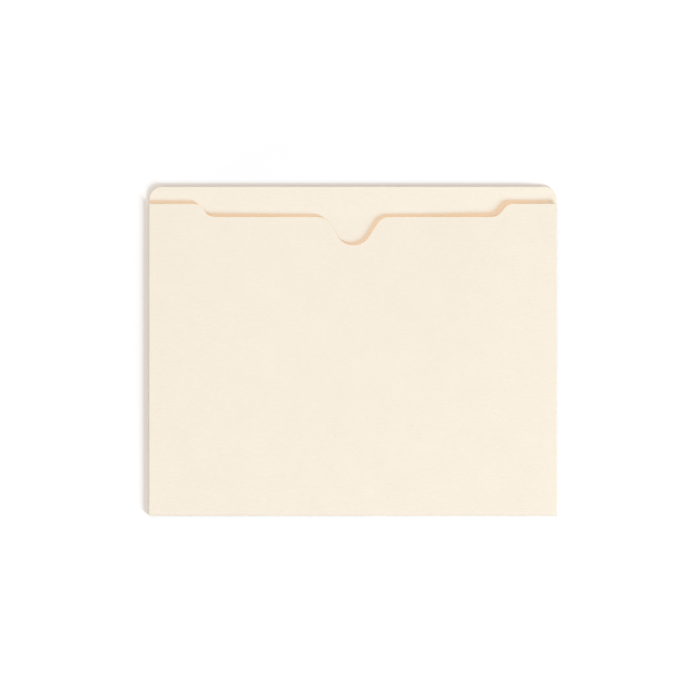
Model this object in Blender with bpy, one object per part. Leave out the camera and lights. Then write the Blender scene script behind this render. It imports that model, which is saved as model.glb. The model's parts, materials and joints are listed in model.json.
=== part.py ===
"""Letter-size expanding file jacket in manila card, shut and lying on its back.

The jacket is one die-cut blank, folded and glued. It is divided here at its creases, so that each leaf
of card, each crease and each line of glue is an object of its own, and what hinges on a crease has its
parent empty on that crease's axis.

Metres. +X is to the right, +Y towards the tab and +Z up, with the origin under the middle of the back.
"""

import math

import bmesh
import bpy
from mathutils import Matrix, Vector

# Folded outline
WIDTH = 0.29845
HEIGHT = 0.2413
TAB_CORNER_RADIUS = 0.010

# Top edge of the front panel. The drops are measured from the top of the tab
SHOULDER_DROP = 0.0127
MIDDLE_DROP = 0.0223
SHOULDER_LENGTH = 0.036
STEP_SLOPE = math.radians(50)
STEP_RADIUS = 0.008
NOTCH_DEPTH = 0.0207
NOTCH_SLOPE = math.radians(57.5)
NOTCH_LIP_RADIUS = 0.011
NOTCH_FLOOR_RADIUS = 0.0136

# Second ply of the tab, which reaches this far below the floor of the thumb notch
TAB_PLY_COVER = 0.0015

# Side gussets, which open as a V from the bottom corners
GUSSET_WIDTH = 0.0254
GUSSET_DROP = 0.0015
LEAF_FOOT = 0.010
FLAP_WIDTH = 0.0127
FLAP_FOOT = 0.004
FLAP_MITRE = math.radians(45)

# Card, glue and the spaces between plies
CARD = 0.00028
GLUE_FILM = 0.00006
GLUE_MARGIN = 0.002
FILM_CLEARANCE = 0.00002
PLY_CLEARANCE = 0.0002
CREASE_CLEARANCE = 0.0001

# Travel of the front panel, and how far a crease stops short of what turns on it
OPEN_ANGLE = math.radians(8)
CREASE_STOP = math.radians(12)

# Facets of the round stretches
ARC_STEP = math.radians(5)
CREASE_STEPS = 10

# Undersides of the plies, from the table up
GLUED_GAP = GLUE_FILM + 2 * FILM_CLEARANCE
BACK_Z = 0.0
TAB_PLY_Z = BACK_Z + CARD + GLUED_GAP
REAR_LEAF_Z = TAB_PLY_Z + CARD + PLY_CLEARANCE
FRONT_LEAF_Z = REAR_LEAF_Z + CARD + PLY_CLEARANCE
FLAP_Z = FRONT_LEAF_Z + CARD + PLY_CLEARANCE
FRONT_Z = FLAP_Z + CARD + GLUED_GAP


def crease_radius(lower_z, upper_z):
    """Outer radius of a half-round crease between two plies with these undersides."""
    return (upper_z + CARD - lower_z) / 2


TAB_RADIUS = crease_radius(BACK_Z, TAB_PLY_Z)
BOTTOM_RADIUS = crease_radius(BACK_Z, FRONT_Z)
REAR_RADIUS = crease_radius(BACK_Z, REAR_LEAF_Z)
MID_RADIUS = crease_radius(REAR_LEAF_Z, FRONT_LEAF_Z)
FRONT_RADIUS = crease_radius(FRONT_LEAF_Z, FLAP_Z)

# Places along Y
TOP_Y = HEIGHT / 2
BOTTOM_AXIS_Y = BOTTOM_RADIUS - HEIGHT / 2
PANEL_FOOT_Y = BOTTOM_AXIS_Y + CREASE_CLEARANCE
SHOULDER_Y = TOP_Y - SHOULDER_DROP
MIDDLE_Y = TOP_Y - MIDDLE_DROP
NOTCH_FLOOR_Y = MIDDLE_Y - NOTCH_DEPTH
TAB_PLY_FOOT_Y = NOTCH_FLOOR_Y - TAB_PLY_COVER
GUSSET_TOP_Y = SHOULDER_Y - GUSSET_DROP
LEAF_FOOT_Y = BOTTOM_AXIS_Y + LEAF_FOOT
FLAP_FOOT_Y = BOTTOM_AXIS_Y + FLAP_FOOT
GUSSET_LENGTH = GUSSET_TOP_Y - BOTTOM_AXIS_Y

# Places along X
HALF_WIDTH = WIDTH / 2
CROWN_HALF = HALF_WIDTH - TAB_CORNER_RADIUS

# Turn of a gusset leaf when the front panel is open, at the rate it has near the shut pose
LEAF_TURN = OPEN_ANGLE * GUSSET_LENGTH / (2 * GUSSET_WIDTH)

UP = Vector((0, 0, 1))
DOWN = Vector((0, 0, -1))
SIDES = {"left": -1, "right": 1}


def card_material():
    material = bpy.data.materials.new("manila_card")
    material.use_nodes = True
    shader = material.node_tree.nodes["Principled BSDF"]
    shader.inputs["Base Color"].default_value = (0.93, 0.84, 0.71, 1)
    shader.inputs["Roughness"].default_value = 0.85
    shader.inputs["Metallic"].default_value = 0
    return material


def glue_material():
    material = bpy.data.materials.new("dried_glue")
    material.use_nodes = True
    shader = material.node_tree.nodes["Principled BSDF"]
    shader.inputs["Base Color"].default_value = (0.80, 0.70, 0.50, 1)
    shader.inputs["Roughness"].default_value = 0.4
    shader.inputs["Metallic"].default_value = 0
    return material


def place_of(obj):
    """World place of an object whose parents are only moved, never turned."""
    place = Vector()
    while obj:
        place += obj.location
        obj = obj.parent
    return place


def pivot(name, place, parent=None):
    """An empty on a hinge axis, which carries what turns about it."""
    empty = bpy.data.objects.new(name, None)
    bpy.context.scene.collection.objects.link(empty)
    empty.parent = parent
    empty.location = place - place_of(parent)
    return empty


def add_piece(name, solid, material, parent):
    """Turns a finished bmesh, in world coordinates, into an object under its pivot."""
    bmesh.ops.recalc_face_normals(solid, faces=solid.faces)
    bmesh.ops.translate(solid, vec=-place_of(parent), verts=solid.verts)
    mesh = bpy.data.meshes.new(name)
    solid.to_mesh(mesh)
    solid.free()
    mesh.materials.append(material)
    piece = bpy.data.objects.new(name, mesh)
    bpy.context.scene.collection.objects.link(piece)
    piece.parent = parent
    return piece


def filleted(corners):
    """Points of a closed outline whose corners, each (x, y, radius), are rounded by arcs."""
    points = []
    for index, (x, y, radius) in enumerate(corners):
        corner = Vector((x, y))
        before = corners[index - 1]
        after = corners[(index + 1) % len(corners)]
        back = Vector(before[:2]) - corner
        ahead = Vector(after[:2]) - corner
        turn = math.pi - back.angle(ahead)
        if radius == 0:
            points.append(corner)
            continue
        room_back = back.length / (2 if before[2] else 1)
        room_ahead = ahead.length / (2 if after[2] else 1)
        tangent = min(radius * math.tan(turn / 2), room_back, room_ahead)
        arc_radius = tangent / math.tan(turn / 2)
        towards_centre = (back.normalized() + ahead.normalized()).normalized()
        centre = corner + towards_centre * arc_radius / math.cos(turn / 2)
        first = corner + back.normalized() * tangent - centre
        sense = 1 if back.cross(ahead) < 0 else -1
        steps = max(2, round(turn / ARC_STEP))
        for step in range(steps + 1):
            points.append(centre + Matrix.Rotation(sense * turn * step / steps, 2) @ first)
    return [point for i, point in enumerate(points) if (point - points[i - 1]).length > CARD / 100]


def plate(name, outline, underside, thickness, material, parent):
    """A flat sheet with this outline."""
    solid = bmesh.new()
    lower = solid.faces.new([solid.verts.new((x, y, underside)) for x, y in outline])
    grown = bmesh.ops.extrude_face_region(solid, geom=[lower])["geom"]
    upper = [part for part in grown if isinstance(part, bmesh.types.BMVert)]
    bmesh.ops.translate(solid, vec=UP * thickness, verts=upper)
    return add_piece(name, solid, material, parent)


def crease(name, first, last, radius, from_side, sweep, material, parent):
    """A strip of card rolled about the axis from first to last, by the angle sweep."""
    solid = bmesh.new()
    inner = from_side * (radius - CARD)
    outer = from_side * radius
    corners = (first + inner, first + outer, last + outer, last + inner)
    face = solid.faces.new([solid.verts.new(corner) for corner in corners])
    bmesh.ops.spin(
        solid,
        geom=[*face.verts, *face.edges, face],
        cent=first,
        axis=(last - first).normalized(),
        angle=sweep,
        steps=CREASE_STEPS,
    )
    piece = add_piece(name, solid, material, parent)
    piece.data.shade_smooth()
    piece.data.set_sharp_from_angle(angle=math.radians(40))
    return piece


def both_halves(right):
    """A closed outline from its right half, which runs from the bottom to the top."""
    left = [(-x, y, radius) for x, y, radius in reversed(right)]
    return filleted(right + left)


def tabbed_outline(foot_y):
    """Outline of a ply of the back: narrow between the gussets, full width at the tab."""
    crease_half = HALF_WIDTH - REAR_RADIUS - CREASE_CLEARANCE
    tab_foot_y = GUSSET_TOP_Y + CREASE_CLEARANCE
    return both_halves([
        (crease_half, foot_y, 0),
        (crease_half, tab_foot_y, 0),
        (HALF_WIDTH, tab_foot_y, 0),
        (HALF_WIDTH, TOP_Y, TAB_CORNER_RADIUS),
        (CROWN_HALF, TOP_Y, 0),
        (CROWN_HALF, TOP_Y - TAB_RADIUS - CREASE_CLEARANCE, 0),
    ])


def front_outline():
    """Outline of the front panel: shoulders, S-shaped steps, middle edge and thumb notch."""
    step_top = HALF_WIDTH - SHOULDER_LENGTH
    step_foot = step_top - (SHOULDER_Y - MIDDLE_Y) / math.tan(STEP_SLOPE)
    floor_half = NOTCH_FLOOR_RADIUS * math.tan(NOTCH_SLOPE / 2)
    mouth_half = floor_half + NOTCH_DEPTH / math.tan(NOTCH_SLOPE)
    return both_halves([
        (HALF_WIDTH, PANEL_FOOT_Y, 0),
        (HALF_WIDTH, SHOULDER_Y, 0),
        (step_top, SHOULDER_Y, STEP_RADIUS),
        (step_foot, MIDDLE_Y, STEP_RADIUS),
        (mouth_half, MIDDLE_Y, NOTCH_LIP_RADIUS),
        (floor_half, NOTCH_FLOOR_Y, NOTCH_FLOOR_RADIUS),
    ])


def mid_inset(y):
    """Distance of the gusset's middle crease from the side edge, zero turn at the bottom corner."""
    return REAR_RADIUS + GUSSET_WIDTH * (y - BOTTOM_AXIS_Y) / GUSSET_LENGTH


def from_edge(side, points):
    """Points given as (distance in from a side edge, y), turned into x and y."""
    return [(side * (HALF_WIDTH - inset), y) for inset, y in points]


def leaf_outline(side, base_inset):
    return from_edge(side, [
        (base_inset, LEAF_FOOT_Y),
        (mid_inset(LEAF_FOOT_Y) - CREASE_CLEARANCE, LEAF_FOOT_Y),
        (mid_inset(GUSSET_TOP_Y) - CREASE_CLEARANCE, GUSSET_TOP_Y),
        (base_inset, GUSSET_TOP_Y),
    ])


def flap_outline(side, margin):
    """Outline of a glue flap with a mitred foot, drawn in by a margin."""
    outer = FRONT_RADIUS + CREASE_CLEARANCE + margin
    inner = FRONT_RADIUS + CREASE_CLEARANCE + FLAP_WIDTH - margin
    foot_y = FLAP_FOOT_Y + 2 * margin
    return from_edge(side, [
        (outer, foot_y),
        (inner, foot_y + (inner - outer) * math.tan(FLAP_MITRE)),
        (inner, GUSSET_TOP_Y - margin),
        (outer, GUSSET_TOP_Y - margin),
    ])


def side_axis(side, radius, z, first_y, last_y):
    """Ends of a crease along a side edge."""
    x = side * (HALF_WIDTH - radius)
    return Vector((x, first_y, z)), Vector((x, last_y, z))


def add_back(card, glue, root):
    """Back panel, the second ply of its tab and the creases that the back carries."""
    plate("back_panel", tabbed_outline(PANEL_FOOT_Y), BACK_Z, CARD, card, root)
    plate("tab_ply", tabbed_outline(TAB_PLY_FOOT_Y), TAB_PLY_Z, CARD, card, root)

    glue_half = HALF_WIDTH - REAR_RADIUS - CREASE_CLEARANCE - GLUE_MARGIN
    glue_foot_y = TAB_PLY_FOOT_Y + GLUE_MARGIN
    glue_top_y = TOP_Y - TAB_CORNER_RADIUS
    glue_outline = [
        (-glue_half, glue_foot_y),
        (glue_half, glue_foot_y),
        (glue_half, glue_top_y),
        (-glue_half, glue_top_y),
    ]
    plate("tab_glue", glue_outline, BACK_Z + CARD + FILM_CLEARANCE, GLUE_FILM, glue, root)

    crown_end = CROWN_HALF - CREASE_CLEARANCE
    crown_first = Vector((-crown_end, TOP_Y - TAB_RADIUS, BACK_Z + TAB_RADIUS))
    crown_last = Vector((crown_end, TOP_Y - TAB_RADIUS, BACK_Z + TAB_RADIUS))
    crease("tab_fold", crown_first, crown_last, TAB_RADIUS, DOWN, math.pi, card, root)

    bottom_first = Vector((-HALF_WIDTH, BOTTOM_AXIS_Y, BACK_Z + BOTTOM_RADIUS))
    bottom_last = Vector((HALF_WIDTH, BOTTOM_AXIS_Y, BACK_Z + BOTTOM_RADIUS))
    bottom_sweep = math.pi - OPEN_ANGLE - CREASE_STOP
    crease("bottom_fold", bottom_first, bottom_last, BOTTOM_RADIUS, DOWN, -bottom_sweep, card, root)

    side_sweep = math.pi - LEAF_TURN - CREASE_STOP
    for word, side in SIDES.items():
        ends = side_axis(side, REAR_RADIUS, BACK_Z + REAR_RADIUS, PANEL_FOOT_Y, GUSSET_TOP_Y)
        crease(f"{word}_rear_fold", *ends, REAR_RADIUS, DOWN, -side * side_sweep, card, root)


def add_front(card, glue, hinge):
    """Front panel, with the glue flaps and creases that it carries."""
    plate("front_panel", front_outline(), FRONT_Z, CARD, card, hinge)
    side_sweep = math.pi - LEAF_TURN - CREASE_STOP
    for word, side in SIDES.items():
        plate(f"{word}_glue_flap", flap_outline(side, 0), FLAP_Z, CARD, card, hinge)
        film_z = FLAP_Z + CARD + FILM_CLEARANCE
        plate(f"{word}_seam_glue", flap_outline(side, GLUE_MARGIN), film_z, GLUE_FILM, glue, hinge)
        ends = side_axis(side, FRONT_RADIUS, FRONT_LEAF_Z + FRONT_RADIUS, FLAP_FOOT_Y, GUSSET_TOP_Y)
        crease(f"{word}_front_fold", *ends, FRONT_RADIUS, UP, side * side_sweep, card, hinge)


def add_gusset(word, side, card, rear_hinge, front_hinge):
    """The two leaves of a side gusset and the middle crease, which the rear leaf carries."""
    plate(f"{word}_rear_leaf", leaf_outline(side, REAR_RADIUS), REAR_LEAF_Z, CARD, card, rear_hinge)
    plate(f"{word}_front_leaf", leaf_outline(side, FRONT_RADIUS), FRONT_LEAF_Z, CARD, card, front_hinge)
    mid_line = from_edge(side, [(mid_inset(y), y) for y in (LEAF_FOOT_Y, GUSSET_TOP_Y)])
    first, last = (Vector((x, y, REAR_LEAF_Z + MID_RADIUS)) for x, y in mid_line)
    mid_sweep = math.pi - 2 * LEAF_TURN - CREASE_STOP
    crease(f"{word}_mid_fold", first, last, MID_RADIUS, DOWN, side * mid_sweep, card, rear_hinge)


def main():
    for obj in list(bpy.data.objects):
        bpy.data.objects.remove(obj)

    card = card_material()
    glue = glue_material()
    root = pivot("jacket", Vector())
    front_hinge = pivot("front_hinge", Vector((0, BOTTOM_AXIS_Y, BACK_Z + BOTTOM_RADIUS)), root)
    add_back(card, glue, root)
    add_front(card, glue, front_hinge)
    for word, side in SIDES.items():
        rear_place = Vector((side * (HALF_WIDTH - REAR_RADIUS), 0, BACK_Z + REAR_RADIUS))
        front_place = Vector((side * (HALF_WIDTH - FRONT_RADIUS), 0, FRONT_LEAF_Z + FRONT_RADIUS))
        rear_leaf_hinge = pivot(f"{word}_rear_leaf_hinge", rear_place, root)
        front_leaf_hinge = pivot(f"{word}_front_leaf_hinge", front_place, front_hinge)
        add_gusset(word, side, card, rear_leaf_hinge, front_leaf_hinge)


main()
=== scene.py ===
"""Looks of the manila file jacket: thin card with softened cut edges, rolled creases and a little warp.

Metres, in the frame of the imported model: +X to the right, +Y towards the tab, +Z up from the table.
"""

import json
import math
from collections import namedtuple

import bmesh
import bpy
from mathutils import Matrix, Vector


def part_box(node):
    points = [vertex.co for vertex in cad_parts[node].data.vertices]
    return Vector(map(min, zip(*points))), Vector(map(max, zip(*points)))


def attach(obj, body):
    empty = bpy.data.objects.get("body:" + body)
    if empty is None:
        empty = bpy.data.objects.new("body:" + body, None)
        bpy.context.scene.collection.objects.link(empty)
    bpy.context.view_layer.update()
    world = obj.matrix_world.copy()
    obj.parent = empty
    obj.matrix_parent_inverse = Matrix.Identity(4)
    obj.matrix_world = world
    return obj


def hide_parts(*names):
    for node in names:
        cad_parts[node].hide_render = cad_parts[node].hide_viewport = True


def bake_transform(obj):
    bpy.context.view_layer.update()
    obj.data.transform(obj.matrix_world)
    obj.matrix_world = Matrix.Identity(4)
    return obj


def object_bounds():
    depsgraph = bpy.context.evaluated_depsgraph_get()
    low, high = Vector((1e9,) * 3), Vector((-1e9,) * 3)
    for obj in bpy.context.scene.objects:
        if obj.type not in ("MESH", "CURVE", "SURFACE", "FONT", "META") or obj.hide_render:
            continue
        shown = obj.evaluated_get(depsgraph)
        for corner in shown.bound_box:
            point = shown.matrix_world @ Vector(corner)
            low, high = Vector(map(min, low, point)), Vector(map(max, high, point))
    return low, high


# Noise with its scale per metre along x, y and z. As it goes from low to high it shows up to a share
Marks = namedtuple("Marks", "scale detail rough low high share", defaults=(0.0, 1.0, 1.0))

# Directions, and the plain white of the table and the backdrop
RIGHT = Vector((1, 0, 0))
TABWARD = Vector((0, 1, 0))
UP = Vector((0, 0, 1))
WHITE = (1.0, 1.0, 1.0)

# Photograph: what its frame spans, and where its centre lies on the jacket
VIEW_SPAN = 0.5118
VIEW_CENTRE = (-0.00235, 0.00097)
LENS_MM = 175
SENSOR_MM = 36

# Sheets: the round of their cut edges, and two bands along the upper edge that take further materials, the
# narrow one a painted highlight
RIM = 0.00004
RIM_SEGMENTS = 2
RIM_BAND = 0.0007
GLOW_BAND = 0.006
BANDS_FROM = 0.05

# Cells that let a sheet bend, finer from the place where the tab starts to curl, and steps round a roll
CELL = 0.012
FINE_CELL = 0.004
ROLL_STEPS = 18

# What counts as one point, as on a cut, as a flat side, as a cut edge and as smooth
SAME_POINT = 1e-6
ON_CUT = 1e-7
FLAT_WITHIN = math.radians(0.5)
RIM_ABOVE = math.radians(60)
SMOOTH_BELOW = math.radians(25)

# How far a normal points up or down: more than the first on a flat side, less than the second on a rim
LEVEL = 0.99
STEEP = 0.5

# Places of materials on a piece: that of its cut edges, and the first of its bands
CUT_SLOT = 1
BAND_SLOT = 2

# Sag of the front: its depth, the strips beside it that stay up, and where in the upper half it is full
FRONT_SAG = 0.00052
SAG_FREE = 0.030
SAG_FULL = 0.6

# Rise of the front beside the right gusset: its height, and its start, crest and end
FRONT_SPRING = 0.00027
SPRING_ZONE = (0.055, 0.100, 0.138)

# Curl of the tab: its height, and where it starts in the middle and at the left and right sides
TAB_LIFT = 0.00085
TAB_LIFT_FROM = 0.097
SIDE_LIFT_FROM = (0.102, 0.107)

# Zones where the middle's curl goes over into that of the sides, and where it ends at the right corner
GUSSET_ZONE = (0.095, 0.118)
CORNER_ZONE = (0.129, 0.150)

# Gusset leaves: the width they gain, so as to meet when open, and how near they come to the bottom axis
LEAF_REACH = 0.0021
TIP_GAP = 0.002

# Card: colours of its kinds, their shares in thin and thick places, and colours of its marks
FACE = (0.930, 0.843, 0.709)
CUT_EDGE = (0.915, 0.840, 0.735)
# A paler band along the front's upper cut edge: a painted highlight
PAINTED_EDGE_HIGHLIGHT = (0.960, 0.888, 0.737)
# Creases are painted darker than the face: painted shade along the folds
CREASE_SHADE = (0.795, 0.696, 0.570)
FORMATION = (0.988, 1.008)
PALE_FIBRE = (1.0, 0.95, 0.86)
DARK_FIBRE = (0.80, 0.68, 0.52)
FLECK = (0.70, 0.54, 0.34)

# Card: its marks, all but the clouds longer along x as fibres lie, and the depth of its tooth
CLOUDS = Marks((38.0, 38.0, 38.0), detail=4.0, rough=0.60, low=0.30, high=0.70)
PALE_FIBRES = Marks((260.0, 1400.0, 1400.0), detail=3.0, rough=0.65, low=0.45, high=0.80, share=0.40)
DARK_FIBRES = Marks((560.0, 2600.0, 2600.0), detail=3.0, rough=0.60, low=0.58, high=0.76, share=0.32)
FLECKS = Marks((500.0, 900.0, 900.0), detail=1.0, rough=0.50, low=0.72, high=0.80, share=0.35)
GRAIN = Marks((1500.0, 2600.0, 2600.0), detail=4.0, rough=0.60)
TOOTH = 0.00005

# Card: its gloss, and how far its roughness goes up and down over a range of the fibres' noise
CARD_GLOSS = 0.015
ROUGH_RANGE = (0.2, 0.8)
ROUGH_SPREAD = 0.06

# Colour of the lamp light that shows through one sheet and through pasted sheets
THROUGH_SHEET = (0.81, 0.48, 0.15)
THROUGH_PASTE = (0.92, 0.75, 0.50)

# Glue: colours of a thin and a thick film, its streaks, its roughness and the height of its ridges
GLUE_THIN = (0.70, 0.58, 0.36)
GLUE_THICK = (0.86, 0.77, 0.57)
GLUE_STREAKS = Marks((90.0, 900.0, 900.0), detail=3.0, rough=0.60, low=0.30, high=0.70)
GLUE_ROUGH = (0.25, 0.5)
GLUE_RIDGE = 0.00003
GLUE_RELIEF = 0.6

# Key light: low and soft, from the lower right
KEY_AZIMUTH = math.radians(47)
KEY_ELEVATION = math.radians(18.5)
KEY_DISTANCE = 7.0
KEY_SIZE = (1.4, 2.2)
KEY_POWER = 536.0
KEY_COLOUR = (0.85, 1.026, 1.21)

# Fill light: its strength at the horizon and overhead, and its shift to the side away from the key
FILL_COLOUR = (1.09, 1.0, 0.912)
FILL_HORIZON = 0.33
FILL_ZENITH = 0.822
FILL_BALANCE = 0.70

# Floor: its size, the gap under the jacket, what it throws back, and the glow that keeps it white far out
FLOOR_SIZE = 6.0
FLOOR_GAP = 0.00002
FLOOR_BOUNCE = (0.45, 0.45, 0.45)
GLOW_FAR = 0.6
GLOW_REACH = (0.16, 1.1)

# Places of the colour sockets on a Mix node
MIX_FIRST, MIX_SECOND, MIX_RESULT = 6, 7, 2


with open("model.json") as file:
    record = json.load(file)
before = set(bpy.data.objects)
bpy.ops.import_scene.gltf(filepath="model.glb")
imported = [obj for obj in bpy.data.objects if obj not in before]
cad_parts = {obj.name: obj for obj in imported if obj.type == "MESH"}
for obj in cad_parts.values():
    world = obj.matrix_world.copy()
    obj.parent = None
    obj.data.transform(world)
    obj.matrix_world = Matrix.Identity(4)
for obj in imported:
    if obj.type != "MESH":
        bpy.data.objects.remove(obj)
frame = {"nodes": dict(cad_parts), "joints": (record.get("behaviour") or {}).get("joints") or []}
cad_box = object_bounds()
BOX = {name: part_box(name) for name in frame["nodes"]}
HINGE = {joint["name"]: Vector(joint["pos_m"]) for joint in frame["joints"]}
CARD = BOX["front_panel"][1].z - BOX["front_panel"][0].z
CREASE_LEAD = BOX["back_panel"][0].y - HINGE["front_hinge"].y


def smooth(value, low, high):
    """0 below low, 1 above high and a smooth ramp between."""
    share = min(1.0, max(0.0, (value - low) / (high - low)))
    return share * share * (3 - 2 * share)


# Materials


class Nodes:
    """Short helper around the node tree of a material, or of the world, which has no shader."""

    def __init__(self, tree, coordinates):
        self.tree = tree
        self.shader = tree.nodes.get("Principled BSDF")
        self.place = self.add("ShaderNodeTexCoord").outputs[coordinates]

    def add(self, kind, **values):
        node = self.tree.nodes.new(kind)
        for name, value in values.items():
            setattr(node, name, value)
        return node

    def link(self, source, target):
        self.tree.links.new(source, target)

    def noise(self, marks):
        mapping = self.add("ShaderNodeMapping")
        mapping.inputs["Scale"].default_value = marks.scale
        self.link(self.place, mapping.inputs["Vector"])
        node = self.add("ShaderNodeTexNoise")
        node.inputs["Scale"].default_value = 1.0
        node.inputs["Detail"].default_value = marks.detail
        node.inputs["Roughness"].default_value = marks.rough
        self.link(mapping.outputs["Vector"], node.inputs["Vector"])
        return node.outputs["Fac"]

    def shown(self, marks, noise):
        """How far some marks show, from their noise."""
        return self.remap(noise, marks.low, marks.high, 0.0, marks.share)

    def remap(self, value, low, high, to_low, to_high):
        node = self.add("ShaderNodeMapRange")
        for name, number in zip(
            ("From Min", "From Max", "To Min", "To Max"), (low, high, to_low, to_high)
        ):
            node.inputs[name].default_value = number
        self.link(value, node.inputs["Value"])
        return node.outputs["Result"]

    def math(self, operation, first, second):
        node = self.add("ShaderNodeMath", operation=operation)
        self.link(first, node.inputs[0])
        self.link(second, node.inputs[1])
        return node.outputs[0]

    def mix(self, share, first, second):
        """Colour between first and second, each a colour or a socket."""
        node = self.add("ShaderNodeMix", data_type="RGBA")
        for socket, value in ((node.inputs[MIX_FIRST], first), (node.inputs[MIX_SECOND], second)):
            if isinstance(value, tuple):
                socket.default_value = (*value, 1)
            else:
                self.link(value, socket)
        self.link(share, node.inputs[0])
        return node.outputs[MIX_RESULT]

    def either(self, share, first, second):
        """Shader between two nodes' shaders."""
        node = self.add("ShaderNodeMixShader")
        for source, target in zip((share, first.outputs[0], second.outputs[0]), node.inputs):
            self.link(source, target)
        return node.outputs[0]

    def bump(self, height, distance, strength):
        node = self.add("ShaderNodeBump")
        node.inputs["Distance"].default_value = distance
        node.inputs["Strength"].default_value = strength
        self.link(height, node.inputs["Height"])
        self.link(node.outputs["Normal"], self.shader.inputs["Normal"])

    def let_through(self, tint):
        """Lets some lamp light through, in a tint, as thin card does. Seen directly it stays opaque."""
        clear = self.add("ShaderNodeBsdfTransparent")
        clear.inputs["Color"].default_value = (*tint, 1)
        shadow = self.add("ShaderNodeLightPath").outputs["Is Shadow Ray"]
        surface = self.tree.nodes["Material Output"].inputs["Surface"]
        self.link(self.either(shadow, self.shader, clear), surface)


def new_material(name):
    """A material, with its nodes and its shader's inputs."""
    material = bpy.data.materials.new(name)
    material.use_nodes = True
    nodes = Nodes(material.node_tree, "Object")
    return material, nodes, nodes.shader.inputs


def card_material(name, base, tooth=0.9, rough=0.84, through=None):
    """Uncoated manila card: cloudy, with pale and dark fibres, sparse brown flecks and a fine tooth."""
    material, nodes, inputs = new_material(name)
    thin, thick = (tuple(min(1.0, channel * share) for channel in base) for share in FORMATION)
    fibre = nodes.noise(PALE_FIBRES)
    colour = nodes.mix(nodes.shown(CLOUDS, nodes.noise(CLOUDS)), thin, thick)
    colour = nodes.mix(nodes.shown(PALE_FIBRES, fibre), colour, PALE_FIBRE)
    colour = nodes.mix(nodes.shown(DARK_FIBRES, nodes.noise(DARK_FIBRES)), colour, DARK_FIBRE)
    colour = nodes.mix(nodes.shown(FLECKS, nodes.noise(FLECKS)), colour, FLECK)
    nodes.link(colour, inputs["Base Color"])
    matt = nodes.remap(fibre, *ROUGH_RANGE, rough - ROUGH_SPREAD, rough + ROUGH_SPREAD)
    nodes.link(matt, inputs["Roughness"])
    inputs["Specular IOR Level"].default_value = CARD_GLOSS
    nodes.bump(nodes.noise(GRAIN), TOOTH, tooth)
    if through:
        nodes.let_through(through)
    return material


def glue_material():
    """Dried paste: a thin amber film with streaks where it was rolled on."""
    material, nodes, inputs = new_material("dried_glue_film")
    streak = nodes.noise(GLUE_STREAKS)
    nodes.link(nodes.mix(nodes.shown(GLUE_STREAKS, streak), GLUE_THIN, GLUE_THICK), inputs["Base Color"])
    matt = nodes.remap(streak, GLUE_STREAKS.low, GLUE_STREAKS.high, *GLUE_ROUGH)
    nodes.link(matt, inputs["Roughness"])
    nodes.bump(streak, GLUE_RIDGE, GLUE_RELIEF)
    nodes.let_through(THROUGH_PASTE)
    return material


def floor_material():
    """White table that keeps the shadow. The camera sees it white, and what it throws back is dimmer."""
    material, nodes, inputs = new_material("table_white")
    seen = nodes.add("ShaderNodeLightPath").outputs["Is Camera Ray"]
    nodes.link(nodes.mix(seen, FLOOR_BOUNCE, WHITE), inputs["Base Color"])
    inputs["Roughness"].default_value = 1.0
    inputs["Specular IOR Level"].default_value = 0.0
    inputs["Emission Color"].default_value = (*WHITE, 1)
    away = nodes.add("ShaderNodeVectorMath", operation="LENGTH")
    nodes.link(nodes.place, away.inputs[0])
    glow = nodes.remap(away.outputs["Value"], *GLOW_REACH, 0.0, GLOW_FAR)
    nodes.link(nodes.math("MULTIPLY", glow, seen), inputs["Emission Strength"])
    return material


# Meshes


def solid_of(node):
    """A CAD node's shape as a clean bmesh, with each flat side as one face."""
    solid = bmesh.new()
    solid.from_mesh(frame["nodes"][node].data)
    bmesh.ops.remove_doubles(solid, verts=solid.verts, dist=SAME_POINT)
    bmesh.ops.dissolve_limit(solid, angle_limit=FLAT_WITHIN, verts=solid.verts, edges=solid.edges)
    return solid


def soften_rims(solid):
    """Rounds the cut edges of a sheet."""
    rims = [edge for edge in solid.edges if edge.calc_face_angle(0) > RIM_ABOVE]
    bmesh.ops.bevel(
        solid,
        geom=rims,
        offset=RIM,
        offset_type="OFFSET",
        segments=RIM_SEGMENTS,
        profile=0.5,
        affect="EDGES",
    )


def band_rims(solid, materials):
    """Sets off a narrow band along the upper cut edge, for a painted highlight, and a wider one within it,
    for further materials.
    """
    flats = [face for face in solid.faces if abs(face.normal.z) > LEVEL]
    for width, index in zip((RIM_BAND, GLOW_BAND), range(BAND_SLOT, len(materials))):
        band = bmesh.ops.inset_individual(solid, faces=flats, thickness=width, use_even_offset=True)
        for face in band["faces"]:
            if face.calc_center_median().y > BANDS_FROM:
                face.material_index = index


def lines(low, high, cell):
    """Evenly spaced places strictly between low and high."""
    count = max(1, round((high - low) / cell))
    return [low + (high - low) * step / count for step in range(1, count)]


def cut_lines(solid, along, places):
    """Cuts a sheet across one direction, at places along it, so that it can bend."""
    for place in places:
        everything = [*solid.verts, *solid.edges, *solid.faces]
        bmesh.ops.bisect_plane(solid, geom=everything, dist=ON_CUT, plane_co=along * place, plane_no=along)


def warp(solid, rise):
    """Lifts each point by the rise at its place."""
    for vert in solid.verts:
        vert.co.z += rise(vert.co)


def new_piece(name, solid, materials, replaced):
    """Finishes a bmesh as a piece. Cut edges take the second material, where there is one."""
    bmesh.ops.recalc_face_normals(solid, faces=solid.faces)
    if len(materials) > CUT_SLOT:
        for face in solid.faces:
            if abs(face.normal.z) < STEEP:
                face.material_index = CUT_SLOT
    mesh = bpy.data.meshes.new(name)
    solid.to_mesh(mesh)
    solid.free()
    for material in materials:
        mesh.materials.append(material)
    mesh.shade_smooth()
    mesh.set_sharp_from_angle(angle=SMOOTH_BELOW)
    piece = bpy.data.objects.new(name, mesh)
    bpy.context.scene.collection.objects.link(piece)
    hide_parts(*replaced)
    return piece


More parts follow.
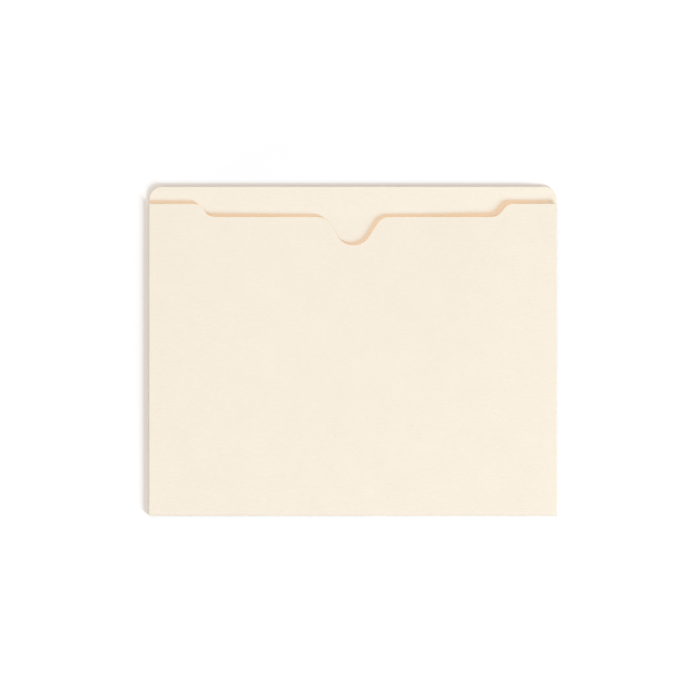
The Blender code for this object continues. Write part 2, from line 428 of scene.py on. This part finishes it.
def panel(name, node, body, materials, rise):
    """A broad sheet of card, remade from its solid with soft rims and cells that bend."""
    low, high = BOX[node]
    solid = solid_of(node)
    soften_rims(solid)
    band_rims(solid, materials)
    cut_lines(solid, RIGHT, lines(low.x, high.x, CELL))
    cut_lines(solid, TABWARD, [*lines(low.y, TAB_LIFT_FROM, CELL), TAB_LIFT_FROM])
    cut_lines(solid, TABWARD, lines(TAB_LIFT_FROM, high.y, FINE_CELL))
    warp(solid, rise)
    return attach(new_piece(name, solid, materials, [node]), body)


def half_turn(radius, inward):
    """Points half round an axis, from below to above, with short flat leads inward."""
    points = [inward * CREASE_LEAD - UP * radius]
    for step in range(ROLL_STEPS + 1):
        angle = math.pi * step / ROLL_STEPS - math.pi / 2
        points.append(UP * radius * math.sin(angle) - inward * radius * math.cos(angle))
    points.append(inward * CREASE_LEAD + UP * radius)
    return points


def plug(solid, end, step, outline):
    """Fills the hollow of a roll between one and two steps in from an end."""
    near = [solid.verts.new(end + step + point) for point in outline]
    far = [solid.verts.new(end + 2 * step + point) for point in outline]
    solid.faces.new(near)
    solid.faces.new(far[::-1])
    for index in range(len(outline)):
        solid.faces.new((near[index], near[index - 1], far[index - 1], far[index]))


def roll(name, ends, radius, inward, material, replaced, rise=None, pinch=0.0):
    """Card rolled half round an axis between its ends.

    A pinch plugs the hollow that far in from each end, as where two creases meet at a corner.
    """
    first, last = ends
    outer = half_turn(radius, inward)
    inner = half_turn(radius - CARD, inward)
    profile = outer + inner[::-1]
    solid = bmesh.new()
    count = max(1, round((last - first).length / CELL))
    rings = [
        [solid.verts.new(first.lerp(last, step / count) + point) for point in profile]
        for step in range(count + 1)
    ]
    for here, there in zip(rings, rings[1:]):
        for index in range(len(profile)):
            solid.faces.new((here[index - 1], here[index], there[index], there[index - 1]))
    for ring in (rings[0], rings[-1]):
        for index in range(len(outer) - 1):
            solid.faces.new((ring[index], ring[index + 1], ring[-index - 2], ring[-index - 1]))
    if pinch:
        for end, other in ((first, last), (last, first)):
            plug(solid, end, (other - end).normalized() * pinch, inner)
    if rise:
        warp(solid, rise)
    return new_piece(name, solid, [material], replaced)


# The jacket


def front_sag(place):
    """The front panel hangs a little between the gussets, and the right one pushes it up beside itself."""
    low, high = BOX["front_panel"]
    across = 1 - smooth(abs(place.x), 0.0, high.x - SAG_FREE)
    along = smooth(place.y, low.y, SAG_FULL * high.y)
    start, crest, end = SPRING_ZONE
    spring = smooth(place.x, start, crest) * (1 - smooth(place.x, crest, end))
    return (FRONT_SPRING * spring - FRONT_SAG * across) * along


def tab_lift(place):
    """The tab curls a little off the table, all but its right corner, and from higher up by the gussets."""
    left_from, right_from = SIDE_LIFT_FROM
    top = cad_box[1].y
    lift = TAB_LIFT * (1 - smooth(place.x, *CORNER_ZONE))
    middle = min(1.0, max(0.0, (place.y - TAB_LIFT_FROM) / (top - TAB_LIFT_FROM)))
    beside = smooth(place.y, right_from if place.x > 0 else left_from, top)
    share = smooth(abs(place.x), *GUSSET_ZONE)
    return lift * (middle * (1 - share) + beside * share)


def add_panels(card, sheet, crease_shade):
    """The two panels, the tab's second ply, and the rolls along the tab and along the bottom."""
    panel("back_card", "back_panel", "back", card, tab_lift)
    panel("tab_card", "tab_ply", "back", card, tab_lift)
    panel("front_card", "front_panel", "front", [*card, sheet], front_sag)

    low, high = BOX["tab_fold"]
    radius = BOX["tab_ply"][1].z / 2
    ends = (Vector((low.x, high.y - radius, radius)), Vector((high.x, high.y - radius, radius)))
    tab_roll = roll("tab_roll", ends, radius, -TABWARD, card[0], ["tab_fold"], tab_lift)
    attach(tab_roll, "back")

    low, high = BOX["bottom_fold"]
    axis = HINGE["front_hinge"]
    ends = (Vector((low.x, axis.y, axis.z)), Vector((high.x, axis.y, axis.z)))
    bottom = roll("bottom_roll", ends, axis.z, TABWARD, crease_shade, ["bottom_fold"], pinch=CARD)
    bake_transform(bottom)


def reach_out(solid, axis, leaf):
    """Widens a gusset leaf away from its hinge, and runs its narrow foot on into the bottom corner."""
    low, high = BOX[leaf]
    out = 1 if axis.x < 0 else -1
    width = high.x - low.x
    tip = HINGE["front_hinge"].y + TIP_GAP
    narrowing = width * (low.y - tip) / (high.y - low.y)
    for vert in solid.verts:
        at_foot = vert.co.y < low.y + TIP_GAP
        across = (vert.co.x - axis.x) * (1 + LEAF_REACH / width)
        if at_foot and abs(across) > narrowing:
            across -= out * narrowing
        vert.co.x = axis.x + across
        if at_foot:
            vert.co.y += tip - low.y


def add_gusset(word, inward, card, crease_shade):
    """Both leaves of one gusset, the rolls that they hinge on and the crease between them."""
    for which, carrier, lower, upper in (
        ("rear", "back", "back_panel", f"{word}_rear_leaf"),
        ("front", "front", f"{word}_front_leaf", f"{word}_glue_flap"),
    ):
        leaf = f"{word}_{which}_leaf"
        fold = f"{word}_{which}_fold"
        body = f"{word}_gusset_{which}"
        axis = HINGE[f"{word}_{which}_hinge"]
        solid = solid_of(leaf)
        reach_out(solid, axis, leaf)
        soften_rims(solid)
        cut_lines(solid, TABWARD, lines(BOX[leaf][0].y, BOX[leaf][1].y, CELL))
        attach(new_piece(f"{leaf}_card", solid, card, [leaf]), body)

        foot = BOX["back_panel"][0].y
        ends = (Vector((axis.x, foot, axis.z)), Vector((axis.x, BOX[fold][1].y, axis.z)))
        strip = roll(f"{word}_{which}_roll", ends, BOX[upper][1].z - axis.z, inward, crease_shade, [fold])
        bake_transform(strip)

    nose = solid_of(f"{word}_mid_fold")
    reach_out(nose, HINGE[f"{word}_rear_hinge"], f"{word}_rear_leaf")
    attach(new_piece(f"{word}_mid_roll", nose, card[:1], [f"{word}_mid_fold"]), f"{word}_gusset_rear")


def paint_node(name, material):
    """Gives a CAD node that stays as it is another material."""
    for holder in frame["nodes"][name].material_slots:
        holder.material = material


# Stage


def add_floor():
    """A plain square of table, just under the jacket."""
    mesh = bpy.data.meshes.new("floor")
    half = FLOOR_SIZE / 2
    corners = [(-half, -half, 0), (half, -half, 0), (half, half, 0), (-half, half, 0)]
    mesh.from_pydata(corners, [], [(0, 1, 2, 3)])
    mesh.materials.append(floor_material())
    floor = bpy.data.objects.new("floor", mesh)
    floor.location.z = cad_box[0].z - FLOOR_GAP
    bpy.context.scene.collection.objects.link(floor)


def add_key_light():
    """Tall soft lamp, low at the lower right, that faces the jacket."""
    light = bpy.data.lights.new("key", "AREA")
    light.shape = "ELLIPSE"
    light.size, light.size_y = KEY_SIZE
    light.energy = KEY_POWER
    light.color = KEY_COLOUR
    lamp = bpy.data.objects.new("key", light)
    flat = math.cos(KEY_ELEVATION)
    towards = Vector((flat * math.sin(KEY_AZIMUTH), -flat * math.cos(KEY_AZIMUTH), math.sin(KEY_ELEVATION)))
    lamp.location = towards * KEY_DISTANCE
    lamp.rotation_mode = "QUATERNION"
    lamp.rotation_quaternion = towards.to_track_quat("Z", "Y")
    lamp.visible_camera = False
    bpy.context.scene.collection.objects.link(lamp)


def add_world():
    """Soft light, stronger from above and from the side away from the key, with a plain white backdrop."""
    world = bpy.data.worlds.new("studio")
    world.use_nodes = True
    bpy.context.scene.world = world
    world.node_tree.nodes.clear()
    nodes = Nodes(world.node_tree, "Generated")

    split = nodes.add("ShaderNodeSeparateXYZ")
    nodes.link(nodes.place, split.inputs[0])
    height = nodes.remap(split.outputs["Z"], 0.0, 1.0, FILL_HORIZON, FILL_ZENITH)
    facing = nodes.add("ShaderNodeVectorMath", operation="DOT_PRODUCT")
    facing.inputs[1].default_value = (math.sin(KEY_AZIMUTH), -math.cos(KEY_AZIMUTH), 0)
    nodes.link(nodes.place, facing.inputs[0])
    balance = nodes.remap(facing.outputs["Value"], -1.0, 1.0, 1 + FILL_BALANCE, 1 - FILL_BALANCE)
    fill = nodes.add("ShaderNodeBackground")
    fill.inputs["Color"].default_value = (*FILL_COLOUR, 1)
    nodes.link(nodes.math("MULTIPLY", height, balance), fill.inputs["Strength"])

    backdrop = nodes.add("ShaderNodeBackground")
    backdrop.inputs["Color"].default_value = (*WHITE, 1)
    path = nodes.add("ShaderNodeLightPath").outputs
    direct = nodes.math("MAXIMUM", path["Is Camera Ray"], path["Is Glossy Ray"])
    seen = nodes.math("MAXIMUM", direct, path["Is Transmission Ray"])
    out = nodes.add("ShaderNodeOutputWorld")
    nodes.link(nodes.either(seen, fill, backdrop), out.inputs["Surface"])


def add_camera():
    """Straight down through a long lens, so that the outline shows as drawn."""
    data = bpy.data.cameras.new("camera")
    data.lens = LENS_MM
    data.sensor_width = SENSOR_MM
    camera = bpy.data.objects.new("camera", data)
    height = VIEW_SPAN * LENS_MM / SENSOR_MM
    camera.location = (*VIEW_CENTRE, height + cad_box[1].z)
    bpy.context.scene.collection.objects.link(camera)
    bpy.context.scene.camera = camera


bpy.context.scene.view_settings.view_transform = "Standard"
face = card_material("manila_face", FACE)
cut = card_material("manila_cut", CUT_EDGE, tooth=1.0, rough=0.95)
# The narrow band along the upper edge is paler than the face: a painted highlight; it also lets lamp light
# through
rim = card_material("manila_rim_highlight", PAINTED_EDGE_HIGHLIGHT, through=THROUGH_SHEET)
sheet = card_material("manila_sheet", FACE, through=THROUGH_SHEET)
pasted = card_material("manila_pasted", FACE, through=THROUGH_PASTE)
# The creases' card is darker than the face: painted shade along the folds
crease_shade = card_material("manila_crease_shade", CREASE_SHADE, rough=0.78)
glue = glue_material()

add_panels([face, cut, rim], sheet, crease_shade)
for word, inward in (("left", RIGHT), ("right", -RIGHT)):
    add_gusset(word, inward, [face, cut], crease_shade)
    paint_node(f"{word}_glue_flap", pasted)
    paint_node(f"{word}_seam_glue", glue)
paint_node("tab_glue", glue)

add_camera()
add_key_light()
add_world()
add_floor()
